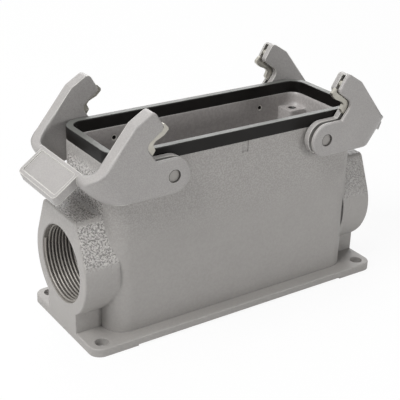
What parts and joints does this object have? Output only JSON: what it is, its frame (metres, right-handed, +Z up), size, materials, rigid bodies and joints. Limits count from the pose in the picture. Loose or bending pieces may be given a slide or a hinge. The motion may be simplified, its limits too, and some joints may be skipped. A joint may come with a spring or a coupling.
{
  "type": "surface mounting connector housing",
  "caption": "Die-cast surface-mount housing for a heavy duty rectangular connector, with hinged locking levers, a rim seal and threaded side cable entries.",
  "frame": {"origin": "centre of the footprint, on the mounting plane", "axes": "+X along the length, +Y across the width, +Z up from the mounting plane"},
  "size_m": [0.162, 0.056, 0.0961],
  "materials": {
    "powder_coat": "grey powder coat with a pebbled texture on cast aluminium",
    "seal_rubber": "matt black moulded rubber",
    "lever_plastic": "grey glass-filled moulded plastic, satin",
    "spring_steel": "bright stainless spring steel",
    "pin_steel": "turned stainless steel"
  },
  "bodies": {
    "body": {"housing": "powder_coat", "rim_seal": "seal_rubber", "near_left_pin": "pin_steel", "far_left_pin": "pin_steel", "near_right_pin": "pin_steel", "far_right_pin": "pin_steel"},
    "left_lever": {"left_lever": "lever_plastic", "near_left_spring": "spring_steel", "far_left_spring": "spring_steel"},
    "right_lever": {"right_lever": "lever_plastic", "near_right_spring": "spring_steel", "far_right_spring": "spring_steel"}
  },
  "joints": [
    {"name": "left_lever_hinge", "type": "hinge", "parent": "body", "child": "left_lever", "pos_m": [-0.0371, 0, 0.0696], "axis": [0, 1, 0], "range_deg": [0, 36]},
    {"name": "right_lever_hinge", "type": "hinge", "parent": "body", "child": "right_lever", "pos_m": [0.0371, 0, 0.0696], "axis": [0, -1, 0], "range_deg": [0, 36]}
  ]
}
